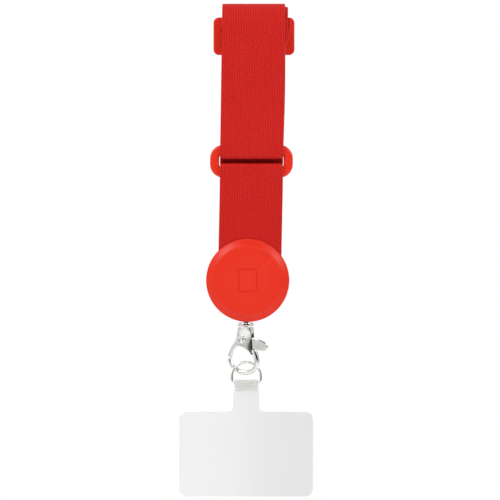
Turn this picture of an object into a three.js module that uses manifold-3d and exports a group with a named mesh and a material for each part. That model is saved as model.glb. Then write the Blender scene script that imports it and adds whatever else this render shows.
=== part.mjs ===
// A neck lanyard with a length adjuster, a round joining housing, a swivel lobster clasp and a clear
// phone tether patch. It hangs from a peg, millimetres, +Z up, front towards -Y, +X to the right.
// The origin is the top of the innermost strap fold, where the peg carries the lanyard.
import * as THREE from "three";
import { mergeVertices } from "three/addons/utils/BufferGeometryUtils.js";
import Module from "manifold-3d";

const wasm = await Module();
wasm.setup();

// ---- Driving dimensions ----
const GAP = 0.3; // running gap between neighbouring pieces
const WEB_T = 1.15; // webbing thickness
const WEB_W = 30; // webbing width
const WRAP = GAP + WEB_T / 2; // from a bar's surface to the centre line of the webbing round it
const BAR_BEND = 1.25; // centre-line radius of the webbing round a buckle's bar
const SOFT_BEND = 20; // and where a layer turns a little aside

const FOLD_NECK_R = 3.9; // centre-line radii of the folds over the peg
const FOLD_SIDE_R = 5.5;
const PEG_Z = -(FOLD_NECK_R - WEB_T / 2);
const SEWN_Y = [-7.1, 8.6]; // front and rear layers of the sewn run
const RUN_Y = [-8.6, 10.1]; // front and rear layers of the running length
const TURN_BOTTOM_Z = -133; // lowest point of the folded webbing, behind the housing
const SPLIT_Z = -3.65; // below this the rear layers follow the slider
const NECK_START_Z = -102; // the rear length joins the neck length here
const SIDE_END_Y = -8; // the neck length's front end, inside the housing

const SLIDER = { x: 1.4, y: 12, z: -8.6, w: 38.8, h: 18, t: 2, bar: 3, slotW: 31.4, r: 2.6 };
const LOOP = { x: 0.2, y: -9.475, z: -68.7, w: 39.4, h: 15.7, t: 3, slotW: 31.2, slotH: 5, r: 6.4 };
const LOOP_BAR = (LOOP.h - LOOP.slotH) / 2;

const DISC = { x: -1.6, y: -9.5, z: -125.3, r: 19.8, front: 4.5, rear: 4.3, wall: 1.4 };
const BEVEL_W = 3.5; // sloping ring round the front face
const BEVEL_D = 1.7;
const STRAP_SLOT = { halfW: 15.9, y0: -12.1, y1: -7 };
const STRAP_PIN = { r: 1, len: 33, z: -120.3 };
const SIDE_END_Z = STRAP_PIN.z + 6;
const THREADED_END_Z = SLIDER.z - SLIDER.h / 2 - 1;
const SCREW = { r: 0.8, head: 1.7, headH: 0.9, hole: 1.1, boss: 2.3 };
const SIDE_SCREW = { dx: 13, z: -131.6 };
const EMBLEM = { w: 9, h: 11, r: 2, line: 0.4, depth: 0.25 };

const SWIVEL_X = -2.6; // swivel axis
const EYE = { z: -136.2, r: 3.1, tube: 0.9, post: 1.75, shank: 1.5 };
const COLLAR = { top: -145.5, bottom: -147.1, rTop: 2.9, r: 3.9, chamfer: 0.6 };
const STUB = { r: 1.2, head: 1.8, bore: 1.5, cavity: 2.2, neckH: 1.2, cavityH: 1.7 };

const CLASP_TOP_Z = -147.4;
const CLASP_TURN = THREE.MathUtils.degToRad(-22);
const HEAD_T = 4.8; // thickness of the clasp's head
const CHANNEL_T = 3; // gate channel through the head
const RIVET = { u: -1, w: -6, r: 0.8, head: 2, headT: 0.5, dish: 1.3, dishD: 0.25 };
const GATE = { t: 1.9, y: -0.35, hub: 1.8, reach: 11.45 };
const COIL = { r: 1.3, wire: 0.13, turns: 1.5, pitch: 0.3, y: 1.05 };

const RING_TURN = THREE.MathUtils.degToRad(6);
const RING = { x: -2.2, wire: 0.6, w: 15, h: 10.9, top: -163.7, corner: 1.8, seam: 0.3 };
const RIBBON = { w: 11.3, t: 0.5, bottom: -177.9, slack: 0.85, flat: 0.98 };
const PATCH = { w: 63.5, h: 40.4, t: 0.8, r: 4.1, neckW: 12.3, neckTop: -176, top: -187.8, fillet: 3 };

// ---- Materials ----
const plain = (color, roughness, metalness = 0) =>
  new THREE.MeshStandardMaterial({ color, roughness, metalness });
const webbing = plain(0xc62421, 0.85);
const redPlastic = plain(0xe53623, 0.35);
const nickel = plain(0xc9c9c6, 0.18, 1);
const steel = plain(0x8f9194, 0.35, 1);
const ribbonGrey = plain(0xd0d1cb, 0.7);
const clearPlastic = new THREE.MeshStandardMaterial({
  color: 0xf0f3f5, roughness: 0.25, metalness: 0, transparent: true, opacity: 0.4,
});

// ---- Solid helpers ----
function solid(geometry) {
  const bare = geometry.index ? geometry.toNonIndexed() : geometry.clone();
  bare.deleteAttribute("normal");
  bare.deleteAttribute("uv");
  const merged = mergeVertices(bare, 1e-4);
  return new wasm.Manifold(new wasm.Mesh({
    numProp: 3,
    vertProperties: merged.attributes.position.array,
    triVerts: new Uint32Array(merged.index.array),
  }));
}

function geometryOf(manifold) {
  const found = manifold.getMesh();
  const geometry = new THREE.BufferGeometry();
  geometry.setAttribute("position", new THREE.BufferAttribute(new Float32Array(found.vertProperties), 3));
  geometry.setIndex(new THREE.BufferAttribute(new Uint32Array(found.triVerts), 1));
  geometry.computeVertexNormals();
  return geometry;
}

const part = new THREE.Group();
function place(parent, name, shape, material) {
  const geometry = shape.isBufferGeometry ? shape : geometryOf(shape);
  const mesh = new THREE.Mesh(geometry, material);
  mesh.name = name;
  parent.add(mesh);
  return mesh;
}

function block(x0, x1, y0, y1, z0, z1) {
  return new THREE.BoxGeometry(x1 - x0, y1 - y0, z1 - z0)
    .translate((x0 + x1) / 2, (y0 + y1) / 2, (z0 + z1) / 2);
}

// A rod along Y or Z, or along X, between two ends.
function rodY(x, z, r, y0, y1, sides = 16) {
  return new THREE.CylinderGeometry(r, r, y1 - y0, sides).translate(x, (y0 + y1) / 2, z);
}

function rodZ(x, y, r, z0, z1, sides = 18) {
  return new THREE.CylinderGeometry(r, r, z1 - z0, sides)
    .rotateX(Math.PI / 2).translate(x, y, (z0 + z1) / 2);
}

function rodX(y, z, r, x0, x1, sides = 20) {
  return new THREE.CylinderGeometry(r, r, x1 - x0, sides)
    .rotateZ(Math.PI / 2).translate((x0 + x1) / 2, y, z);
}

// A plate in the XZ plane, centred on y, with its edges rounded over by `round`.
function plate(shape, thickness, y, round = 0, steps = 3, curveSegments = 8) {
  const geometry = new THREE.ExtrudeGeometry(shape, {
    depth: thickness - 2 * round,
    bevelEnabled: round > 0,
    bevelThickness: round,
    bevelSize: round,
    bevelOffset: -round,
    bevelSegments: steps,
    curveSegments,
  });
  return geometry.translate(0, 0, -(thickness / 2 - round)).rotateX(Math.PI / 2).translate(0, y, 0);
}

function roundedRectangle(w, h, r, x = 0, z = 0) {
  const shape = new THREE.Shape();
  shape.absarc(x + w / 2 - r, z + h / 2 - r, r, 0, Math.PI / 2);
  shape.absarc(x - w / 2 + r, z + h / 2 - r, r, Math.PI / 2, Math.PI);
  shape.absarc(x - w / 2 + r, z - h / 2 + r, r, Math.PI, 1.5 * Math.PI);
  shape.absarc(x + w / 2 - r, z - h / 2 + r, r, 1.5 * Math.PI, 2 * Math.PI);
  shape.closePath();
  return shape;
}

// ---- Webbing ----
// A route through corners [y, z, radius] in the YZ plane, its corners rounded, with points no
// further apart than `step`.
function route(corners, step = 7) {
  const points = [new THREE.Vector2(corners[0][0], corners[0][1])];
  for (let i = 1; i < corners.length - 1; i += 1) {
    const before = new THREE.Vector2(...corners[i - 1]);
    const here = new THREE.Vector2(...corners[i]);
    const after = new THREE.Vector2(...corners[i + 1]);
    const into = before.sub(here).normalize();
    const out = after.sub(here).normalize();
    const half = Math.acos(THREE.MathUtils.clamp(into.dot(out), -1, 1)) / 2;
    const r = corners[i][2];
    if (Math.PI - 2 * half < 1e-3) {
      points.push(here);
      continue;
    }
    const start = here.clone().addScaledVector(into, r / Math.tan(half));
    const end = here.clone().addScaledVector(out, r / Math.tan(half));
    const centre = here.clone().addScaledVector(into.clone().add(out).normalize(), r / Math.sin(half));
    const from = start.clone().sub(centre).angle();
    const sweep = Math.PI - 2 * half;
    const side = Math.sign(into.cross(out)) || 1;
    const arcs = Math.max(2, Math.ceil(sweep / (Math.PI / 10)));
    for (let k = 0; k <= arcs; k += 1) {
      const a = from - side * sweep * (k / arcs);
      points.push(new THREE.Vector2(centre.x + r * Math.cos(a), centre.y + r * Math.sin(a)));
    }
    points[points.length - 1].copy(end);
  }
  const last = corners[corners.length - 1];
  points.push(new THREE.Vector2(last[0], last[1]));
  return spread(points, step);
}

function spread(points, step) {
  const out = [points[0]];
  for (let i = 1; i < points.length; i += 1) {
    const gap = points[i].distanceTo(points[i - 1]);
    if (gap < 1e-4) continue;
    const parts = Math.ceil(gap / step);
    for (let k = 1; k <= parts; k += 1) out.push(points[i - 1].clone().lerp(points[i], k / parts));
  }
  return out;
}

// Webbing of a given width along a YZ route. drift(y, z) shifts it sideways.
function strap(points, width, thickness, drift) {
  const edges = [[], []];
  points.forEach((point, i) => {
    const next = points[Math.min(i + 1, points.length - 1)];
    const last = points[Math.max(i - 1, 0)];
    const ahead = (i < points.length - 1 ? next.clone().sub(point) : point.clone().sub(last)).normalize();
    const behind = (i > 0 ? point.clone().sub(last) : ahead.clone()).normalize();
    const along = ahead.clone().add(behind).normalize();
    const reach = thickness / 2 / along.dot(ahead);
    const off = new THREE.Vector2(-along.y, along.x).multiplyScalar(reach);
    edges[0].push(point.clone().add(off));
    edges[1].unshift(point.clone().sub(off));
  });
  const outline = new THREE.Shape([...edges[0], ...edges[1]]);
  const geometry = new THREE.ExtrudeGeometry(outline, { depth: width, bevelEnabled: false });
  // shape (x, y, depth) goes to (Z-up Y, Z, X)
  const turn = new THREE.Matrix4().set(0, 0, 1, -width / 2, 1, 0, 0, 0, 0, 1, 0, 0, 0, 0, 0, 1);
  geometry.applyMatrix4(turn);
  const at = geometry.attributes.position;
  for (let i = 0; i < at.count; i += 1) at.setX(i, at.getX(i) + drift(at.getY(i), at.getZ(i)));
  return geometry;
}

const ease = (z, low, high) => THREE.MathUtils.smoothstep(z, low, high);
// The front run leans a little, and the layers behind it fan out to the right near the peg.
const LEAN = { top: 1.2, bottom: 0.2 };
const lean = (z) => THREE.MathUtils.mapLinear(Math.max(z, LOOP.z), LOOP.z, 0, LEAN.bottom, LEAN.top);
const SEWN_FAN = 1.4;
const SIDE_FAN = 2.9;
const FAN_FROM = -22;
const FAN_TO = -2;
const HOUSING_DRIFT = -0.6; // sideways shift of the webbing where it enters the housing
const sewnDrift = (z) => lean(z) + SEWN_FAN * ease(z, FAN_FROM, FAN_TO);
const isSide = (y) => Math.abs(y) > (FOLD_NECK_R + FOLD_SIDE_R) / 2;
const neckDrift = (y, z) => lean(z) * (z > LOOP.z ? 1 : ease(z, DISC.z, LOOP.z))
  + (isSide(y) ? SIDE_FAN * ease(z, FAN_FROM, FAN_TO) : 0)
  + HOUSING_DRIFT * ease(-z, -LOOP.z, -DISC.z);

// A turn over the peg between two layers: its two corners.
function overPeg(yFrom, yTo) {
  const r = Math.abs(yTo - yFrom) / 2;
  const z = PEG_Z + r;
  return [[yFrom, z, r * 0.999], [yTo, z, r * 0.999]];
}

// The sewn run and the front run, one length of webbing: over the peg, round the strap loop's upper
// bar and back over the peg. The sewn run fans out near the peg and the front run doesn't.
function addAdjusterStrap() {
  const upperBar = LOOP.z + (LOOP.slotH + LOOP.h) / 4;
  const under = upperBar - LOOP_BAR / 2 - WRAP;
  const front = LOOP.y - LOOP.t / 2 - WRAP;
  const back = LOOP.y + LOOP.t / 2 + WRAP;
  const points = route([
    [SEWN_Y[1], SPLIT_Z + GAP],
    ...overPeg(SEWN_Y[1], SEWN_Y[0]),
    [SEWN_Y[0], upperBar + 12, SOFT_BEND],
    [back, upperBar, 8],
    [back, under, BAR_BEND],
    [front, under, BAR_BEND],
    [front, upperBar + 4.5, 12],
    [RUN_Y[0], upperBar + 20, SOFT_BEND],
    ...overPeg(RUN_Y[0], RUN_Y[1]),
    [RUN_Y[1], SPLIT_Z + GAP],
  ]);
  const lowest = points.reduce((best, p, i) => (p.y < points[best].y ? i : best), 0);
  const sewn = points.slice(0, lowest + 1);
  const running = points.slice(lowest);
  const near = (list, y, z) => Math.min(...list.map((p) => Math.hypot(p.x - y, p.y - z)));
  const drift = (y, z) => (near(sewn, y, z) < near(running, y, z) ? sewnDrift(z) : lean(z));
  place(part, "adjuster_strap", strap(points, WEB_W, WEB_T, drift), webbing);
}

// The rest of the neck length: rear outer run, turned up behind the housing, over the peg, down and
// up again inside it, over the peg once more and down the front into the housing.
function addNeckStrap() {
  const bottom = TURN_BOTTOM_Z + WEB_T / 2;
  const outerR = (RUN_Y[1] + FOLD_NECK_R) / 2;
  const innerMid = (FOLD_NECK_R + FOLD_SIDE_R) / 2;
  const innerR = 1.7; // the inner turn is a teardrop, wider than the gap between its layers
  const innerBottom = bottom + 6;
  const waist = innerBottom + 7;
  const parting = innerBottom + 14;
  const corners = [
    [RUN_Y[1], NECK_START_Z],
    [RUN_Y[1], bottom, outerR * 0.999],
    [-FOLD_NECK_R, bottom, outerR * 0.999],
    ...overPeg(-FOLD_NECK_R, FOLD_NECK_R),
    [FOLD_NECK_R, parting, SOFT_BEND],
    [innerMid - innerR, waist, SOFT_BEND],
    [innerMid - innerR, innerBottom, innerR * 0.999],
    [innerMid + innerR, innerBottom, innerR * 0.999],
    [innerMid + innerR, waist, SOFT_BEND],
    [FOLD_SIDE_R, parting, SOFT_BEND],
    ...overPeg(FOLD_SIDE_R, -FOLD_SIDE_R),
    [-FOLD_SIDE_R, LOOP.z - LOOP.h / 2 - 6, SOFT_BEND],
    [SIDE_END_Y, DISC.z + DISC.r + 2, SOFT_BEND],
    [SIDE_END_Y, SIDE_END_Z],
  ];
  place(part, "neck_strap", strap(route(corners), WEB_W, WEB_T, neckDrift), webbing);
}

// A short loop of webbing from the strap loop's lower bar to the pin inside the housing.
function addLowerStrap() {
  const lowerBar = LOOP.z - (LOOP.slotH + LOOP.h) / 4;
  const over = lowerBar + LOOP_BAR / 2 + WRAP;
  const front = LOOP.y - LOOP.t / 2 - WRAP;
  const back = LOOP.y + LOOP.t / 2 + WRAP;
  const entry = DISC.z + DISC.r + 2;
  const pinOff = STRAP_PIN.r + WRAP;
  const pinBottom = STRAP_PIN.z - pinOff;
  const seam = STRAP_PIN.z + 1.2;
  const corners = [
    [DISC.y - pinOff, seam - 0.35],
    [DISC.y - pinOff, pinBottom, pinOff * 0.98],
    [DISC.y + pinOff, pinBottom, pinOff * 0.98],
    [DISC.y + pinOff, STRAP_PIN.z + 1.5, 3],
    [SIDE_END_Y - 1.6, STRAP_PIN.z + 5.5, 3],
    [SIDE_END_Y - 1.6, entry, SOFT_BEND],
    [back, lowerBar - 5, 12],
    [back, over, BAR_BEND],
    [front, over, BAR_BEND],
    [front, lowerBar - 5, 12],
    [SIDE_END_Y - 3.1, entry, SOFT_BEND],
    [SIDE_END_Y - 3.1, STRAP_PIN.z + 5.5, 3],
    [DISC.y - pinOff, STRAP_PIN.z + 3, 1.5],
    [DISC.y - pinOff, seam],
  ];
  const drift = (y, z) => LEAN.bottom - 0.8 * ease(-z, -LOOP.z, -DISC.z);
  place(part, "lower_strap", strap(route(corners), WEB_W, WEB_T, drift), webbing);
}

// ---- Buckles ----
function barFrame({ x, y, z, w, h, t, r, slotW }, slots, round) {
  let frame = solid(plate(roundedRectangle(w, h, r, x, z), t, y, round, 3, 5));
  for (const [z0, z1] of slots) {
    const cut = block(x - slotW / 2, x + slotW / 2, y - t, y + t, z0, z1);
    frame = frame.subtract(solid(cut));
  }
  return frame;
}

function addSlider() {
  const half = SLIDER.bar / 2;
  const edge = SLIDER.h / 2 - SLIDER.bar;
  const slots = [
    [SLIDER.z + half, SLIDER.z + edge],
    [SLIDER.z - edge, SLIDER.z - half],
  ];
  place(part, "slider_frame", barFrame(SLIDER, slots, 0.6), redPlastic);
}

function addStrapLoop() {
  const slots = [[LOOP.z - LOOP.slotH / 2, LOOP.z + LOOP.slotH / 2]];
  place(part, "strap_loop", barFrame(LOOP, slots, 1.2), redPlastic);
}

// The webbing at the slider: the sewn end round its middle bar, and the running length, which
// passes inside its top bar, out over the middle bar and inside its bottom bar.
function addSliderWebbing() {
  const bar = SLIDER.bar / 2;
  const reach = SLIDER.t / 2 + WRAP;
  const pitch = WEB_T + 0.35;
  const loopTop = SLIDER.z + bar + WRAP;
  const loopBottom = SLIDER.z - bar - WRAP;
  const outY = SLIDER.y + reach;
  const tailY = SEWN_Y[1] - pitch;
  const sewn = [
    [SEWN_Y[1], SPLIT_Z],
    [SEWN_Y[1], loopTop + 0.3, 0.9],
    [SLIDER.y - 0.5, loopTop, 1],
    [outY, loopTop, 0.95],
    [outY, loopBottom, 0.95],
    [SEWN_Y[1] + 0.9, loopBottom, 1],
    [tailY, loopBottom + 2.6, 1],
    [tailY, PEG_Z + 0.2],
  ];
  const drift = () => SLIDER.x;
  place(part, "sewn_end", strap(route(sewn, 4), WEB_W, WEB_T, drift), webbing);
  const run = [
    [RUN_Y[1], SPLIT_Z],
    [RUN_Y[1], loopTop + pitch, 0.7],
    [outY + pitch, loopTop + pitch, 0.9],
    [outY + pitch, loopBottom - pitch, 0.9],
    [RUN_Y[1], loopBottom - pitch, 0.9],
    [RUN_Y[1], THREADED_END_Z],
  ];
  place(part, "threaded_length", strap(route(run, 4), WEB_W, WEB_T, drift), webbing);
  const rear = [[RUN_Y[1], THREADED_END_Z - GAP], [RUN_Y[1], NECK_START_Z + GAP]];
  place(part, "rear_length", strap(route(rear), WEB_W, WEB_T, (y, z) => lean(z)), webbing);
}

// ---- Housing ----
function lathe(profile, segments = 40) {
  return new THREE.LatheGeometry(profile.map(([r, h]) => new THREE.Vector2(r, h)), segments);
}

// One half of the housing, built with its open side at height 0 and its face at `depth`, then
// turned so that the face points to -Y (front) or +Y (rear).
function housingHalf(depth, bevelW, bevelD, front) {
  const { r, wall } = DISC;
  const rim = 0.15;
  const profile = [
    [0, depth],
    [r - bevelW - 0.3, depth],
    [r - bevelW, depth - 0.12],
    [r - 0.5, depth - bevelD],
    [r - 0.12, depth - bevelD - 0.35],
    [r, depth - bevelD - 0.9],
    [r, rim],
    [r - wall, rim],
    [r - wall, depth - bevelD - 1.1],
    [r - bevelW - 0.6, depth - wall],
    [0, depth - wall],
  ].reverse();
  const shell = lathe(profile);
  if (front) shell.rotateX(Math.PI);
  return solid(shell.translate(DISC.x, DISC.y, DISC.z));
}

const screwPlaces = [
  ["cover_screw_left", DISC.x - SIDE_SCREW.dx, SIDE_SCREW.z],
  ["cover_screw_right", DISC.x + SIDE_SCREW.dx, SIDE_SCREW.z],
  ["cover_screw_lower", SWIVEL_X, EYE.z],
];

function cutOpenings(half) {
  const top = DISC.z + 2;
  const slot = block(DISC.x + 1 - STRAP_SLOT.halfW, DISC.x + 1 + STRAP_SLOT.halfW,
    STRAP_SLOT.y0, STRAP_SLOT.y1, top, DISC.z + DISC.r + 1);
  const mouth = block(SWIVEL_X - 3.2, SWIVEL_X + 3.2, DISC.y - 1.9, DISC.y + 1.9,
    DISC.z - DISC.r - 1, EYE.z - 3);
  return half.subtract(solid(slot)).subtract(solid(mouth));
}

function frontCover() {
  const face = DISC.y - DISC.front;
  const inside = face + DISC.wall;
  let cover = cutOpenings(housingHalf(DISC.front, BEVEL_W, BEVEL_D, true));
  for (const [name, x, z] of screwPlaces) {
    const r = name.endsWith("lower") ? EYE.post : SCREW.boss;
    const tip = DISC.y + (name.endsWith("lower") ? 1.6 : -0.2);
    cover = cover.add(solid(rodY(x, z, r, inside - 0.2, tip)));
    cover = cover.subtract(solid(rodY(x, z, SCREW.hole, inside + 0.4, DISC.y + 3, 12)));
  }
  const outer = roundedRectangle(EMBLEM.w, EMBLEM.h, EMBLEM.r, DISC.x, DISC.z);
  const w = EMBLEM.w - 2 * EMBLEM.line;
  const h = EMBLEM.h - 2 * EMBLEM.line;
  outer.holes.push(roundedRectangle(w, h, EMBLEM.r - EMBLEM.line, DISC.x, DISC.z));
  return cover.subtract(solid(plate(outer, 2 * EMBLEM.depth, face)));
}

function rearCover() {
  const face = DISC.y + DISC.rear;
  const inside = face - DISC.wall;
  let cover = cutOpenings(housingHalf(DISC.rear, 2, 1.2, false));
  for (const [name, x, z] of screwPlaces) {
    const low = name.endsWith("lower") ? DISC.y + 1.9 : DISC.y + 0.2;
    cover = cover.add(solid(rodY(x, z, SCREW.boss, low, inside + 0.2)));
    cover = cover.subtract(solid(rodY(x, z, SCREW.hole, DISC.y - 1, face + 1, 12)));
    cover = cover.subtract(solid(rodY(x, z, SCREW.head + GAP, face - SCREW.headH - GAP, face + 1)));
  }
  return cover;
}

function addScrew([name, x, z]) {
  const top = DISC.y + DISC.rear - 0.15;
  const tip = DISC.y - DISC.front + DISC.wall + 0.8;
  const head = solid(rodY(x, z, SCREW.head, top - SCREW.headH + 0.1, top));
  const slots = [
    block(x - 1.1, x + 1.1, top - 0.5, top + 1, z - 0.22, z + 0.22),
    block(x - 0.22, x + 0.22, top - 0.5, top + 1, z - 1.1, z + 1.1),
  ];
  let screw = head.add(solid(rodY(x, z, SCREW.r, tip, top - 0.3, 12)));
  for (const cut of slots) screw = screw.subtract(solid(cut));
  place(part, name, screw, steel);
}

function addHousing() {
  const pin = rodX(DISC.y, STRAP_PIN.z, STRAP_PIN.r, DISC.x - STRAP_PIN.len / 2, DISC.x + STRAP_PIN.len / 2);
  place(part, "front_cover", frontCover(), redPlastic);
  place(part, "rear_cover", rearCover(), redPlastic);
  place(part, "strap_pin", pin, steel);
  screwPlaces.forEach(addScrew);
}

// ---- Swivel and clasp ----
function addSwivelEye() {
  const torus = new THREE.TorusGeometry(EYE.r, EYE.tube, 8, 24).rotateX(Math.PI / 2)
    .translate(SWIVEL_X, DISC.y, EYE.z);
  const shankTop = EYE.z - EYE.r;
  let eye = solid(torus).add(solid(rodZ(SWIVEL_X, DISC.y, EYE.shank, COLLAR.bottom + 0.2, shankTop)));
  const { top, bottom, rTop, r, chamfer } = COLLAR;
  const collar = lathe([[0, bottom], [r - 0.3, bottom], [r, bottom + 0.3], [r, top - chamfer],
    [rTop, top], [0, top]], 28).rotateX(Math.PI / 2).translate(SWIVEL_X, DISC.y, 0);
  const stubTop = COLLAR.bottom + 0.2;
  const headTop = CLASP_TOP_Z - STUB.neckH - GAP;
  const stub = rodZ(SWIVEL_X, DISC.y, STUB.r, headTop - 0.3, stubTop);
  const head = rodZ(SWIVEL_X, DISC.y, STUB.head, headTop - 1, headTop);
  eye = eye.add(solid(collar)).add(solid(stub)).add(solid(head));
  place(part, "swivel_eye", eye, nickel);
}

// A tube along a smooth line in the XZ plane: half-width across the line in the plane, and half
// thickness along Y, both as functions of the share of the way along.
function planarTube(curve, steps, sides, halfW, halfT) {
  const points = [];
  const index = [];
  for (let i = 0; i <= steps; i += 1) {
    const t = i / steps;
    const at = curve.getPointAt(t);
    const along = curve.getTangentAt(t);
    const across = new THREE.Vector3(-along.z, 0, along.x);
    for (let k = 0; k < sides; k += 1) {
      const a = (2 * Math.PI * k) / sides;
      const p = at.clone().addScaledVector(across, halfW(t) * Math.cos(a));
      points.push(p.x, p.y + halfT(t) * Math.sin(a), p.z);
    }
  }
  const ring = (i, k) => i * sides + (k % sides);
  for (let i = 0; i < steps; i += 1) {
    for (let k = 0; k < sides; k += 1) {
      index.push(ring(i, k), ring(i + 1, k), ring(i, k + 1));
      index.push(ring(i, k + 1), ring(i + 1, k), ring(i + 1, k + 1));
    }
  }
  for (const [i, flip] of [[0, 0], [steps, 1]]) {
    for (let k = 1; k < sides - 1; k += 1) {
      const fan = [ring(i, 0), ring(i, k), ring(i, k + 1)];
      index.push(...(flip ? [fan[0], fan[2], fan[1]] : fan));
    }
  }
  const geometry = new THREE.BufferGeometry();
  geometry.setAttribute("position", new THREE.Float32BufferAttribute(points, 3));
  geometry.setIndex(index);
  return geometry;
}

const clasp = new THREE.Group();
clasp.position.set(SWIVEL_X, DISC.y, CLASP_TOP_Z);
clasp.rotation.z = CLASP_TURN;
part.add(clasp);

// The head's outline, looking from the front, in the clasp's own u (right) and w (up).
function headOutline() {
  const shape = new THREE.Shape();
  shape.moveTo(-3.7, 0);
  shape.quadraticCurveTo(-4.6, -3.2, -6.1, -6.6);
  shape.quadraticCurveTo(-6.2, -8, -4.2, -8.9);
  shape.quadraticCurveTo(0.6, -9.4, 3, -12.6);
  shape.lineTo(6.2, -13.2);
  shape.quadraticCurveTo(5.4, -9, 4.7, -5);
  shape.lineTo(3.7, 0);
  return shape;
}

// Middle line of the hook from the head's right side, round the bottom to the tip.
const hookLine = new THREE.CatmullRomCurve3([
  [4.4, -11.4], [5.2, -13.6], [5.75, -16.4], [4.9, -19.3], [2.6, -21.2],
  [-0.4, -21.8], [-3.6, -21.1], [-6.4, -18.9], [-7.8, -16.2], [-7.9, -14.8],
].map(([u, w]) => new THREE.Vector3(u, 0, w)), false, "centripetal");

function claspBody() {
  const crown = lathe([[0, -5.2], [2.3, -5.2], [2.6, -4], [3.6, -1.6], [3.9, -0.5], [3.7, 0], [0, 0]], 24)
    .rotateX(Math.PI / 2);
  const mix = THREE.MathUtils.lerp;
  const hook = planarTube(hookLine, 22, 10, (t) => mix(1.42, 1.08, t), (t) => 1.1 + 0.9 * (1 - t) ** 6);
  // the nose of the hook stays clear of the circle that the gate's tip moves on
  const circle = solid(rodY(RIVET.u, RIVET.w, GATE.reach, -3, 3, 60));
  const nose = solid(hook).subtract(circle.intersect(solid(block(-12, -4, -3, 3, -20, -10))));
  let body = solid(plate(headOutline(), HEAD_T, 0, 0.9, 2, 4)).add(solid(crown)).add(nose);
  body = body.subtract(solid(block(-8, 8, -CHANNEL_T / 2, CHANNEL_T / 2, -11.3, -3.9)));
  body = body.subtract(solid(block(2.9, 8, -CHANNEL_T / 2, CHANNEL_T / 2, -4, -2.6)));
  body = body.subtract(solid(block(0.6, 3, -CHANNEL_T / 2, CHANNEL_T / 2, -4, -3.3)));
  body = body.subtract(solid(rodZ(0, 0, STUB.bore, -2, 1)));
  body = body.subtract(solid(rodZ(0, 0, STUB.cavity, -STUB.neckH - STUB.cavityH, -STUB.neckH)));
  return body.subtract(solid(rodY(RIVET.u, RIVET.w, RIVET.r + 0.1, -HEAD_T, HEAD_T, 14)));
}

function gateOutline() {
  const { u, w } = RIVET;
  const shape = new THREE.Shape();
  shape.absarc(u, w, GATE.hub, Math.PI * 0.42, Math.PI * 0.9);
  shape.quadraticCurveTo(-5.2, -7, -6.4, -8.6);
  shape.quadraticCurveTo(-8.3, -11, -8.7, -14);
  shape.lineTo(-7.2, -15);
  shape.quadraticCurveTo(-6.5, -11.2, -4.2, -9.4);
  shape.quadraticCurveTo(-1.4, -8.9, 1.6, -9.4);
  shape.lineTo(5.6, -10.9);
  shape.lineTo(8.4, -11.5);
  shape.absarc(9.3, -9.4, 2.2, -Math.PI * 0.6, Math.PI * 0.42);
  shape.quadraticCurveTo(7.6, -6, 5, -5.4);
  return shape;
}

function addClasp() {
  const gateY = GATE.y;
  const gate = solid(plate(gateOutline(), GATE.t, gateY, 0.3, 1, 5))
    .subtract(solid(rodY(RIVET.u, RIVET.w, RIVET.r + 0.15, -3, 3, 14)));
  const reach = HEAD_T / 2 + 0.1;
  let rivet = solid(rodY(RIVET.u, RIVET.w, RIVET.r, -reach, reach, 14));
  for (const side of [-1, 1]) {
    const ends = [side * reach, side * (reach + RIVET.headT)].sort((a, b) => a - b);
    rivet = rivet.add(solid(rodY(RIVET.u, RIVET.w, RIVET.head, ends[0] - 0.01, ends[1] + 0.01, 20)));
    const outer = side * (reach + RIVET.headT);
    const dish = [outer - side * RIVET.dishD, outer + side].sort((a, b) => a - b);
    rivet = rivet.subtract(solid(rodY(RIVET.u, RIVET.w, RIVET.dish, dish[0], dish[1], 16)));
  }
  place(clasp, "clasp_body", claspBody(), nickel);
  place(clasp, "clasp_gate", gate, nickel);
  place(clasp, "gate_rivet", rivet, nickel);
  place(clasp, "gate_spring", gateSpring(), steel);
}

// The torsion spring beside the gate's hub.
function gateSpring() {
  const turns = COIL.turns;
  class Coil extends THREE.Curve {
    getPoint(t, target = new THREE.Vector3()) {
      const a = 2 * Math.PI * turns * t;
      return target.set(
        RIVET.u + COIL.r * Math.cos(a),
        COIL.y + COIL.pitch * turns * (t - 0.5),
        RIVET.w + COIL.r * Math.sin(a),
      );
    }
  }
  const section = new THREE.Shape().absarc(0, 0, COIL.wire, 0, 2 * Math.PI);
  return new THREE.ExtrudeGeometry(section, {
    extrudePath: new Coil(), steps: 20, curveSegments: 3, bevelEnabled: false,
  });
}

// ---- Ring, ribbon and patch ----
const ring = new THREE.Group();
ring.position.set(RING.x, DISC.y, 0);
ring.rotation.z = RING_TURN;
const tether = new THREE.Group();
tether.position.copy(ring.position);
part.add(ring, tether);

function ringCurve() {
  const half = RING.w / 2 - RING.wire;
  const top = RING.top - RING.wire;
  const bar = RING.top - RING.h + RING.wire;
  const c = RING.corner;
  const path = new THREE.CurvePath();
  const v = (x, z) => new THREE.Vector3(x, 0, z);
  const line = (a, b) => path.add(new THREE.LineCurve3(a, b));
  const turn = (a, b, d) => path.add(new THREE.QuadraticBezierCurve3(a, b, d));
  const shoulder = top - half;
  line(v(RING.seam / 2, bar), v(half - c, bar));
  turn(v(half - c, bar), v(half, bar), v(half, bar + c));
  line(v(half, bar + c), v(half, shoulder));
  for (let k = 0; k < 12; k += 1) {
    const spot = (j) => v(half * Math.cos((Math.PI * j) / 12), shoulder + half * Math.sin((Math.PI * j) / 12));
    line(spot(k), spot(k + 1));
  }
  line(v(-half, shoulder), v(-half, bar + c));
  turn(v(-half, bar + c), v(-half, bar), v(c - half, bar));
  line(v(c - half, bar), v(-RING.seam / 2, bar));
  return path;
}

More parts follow.
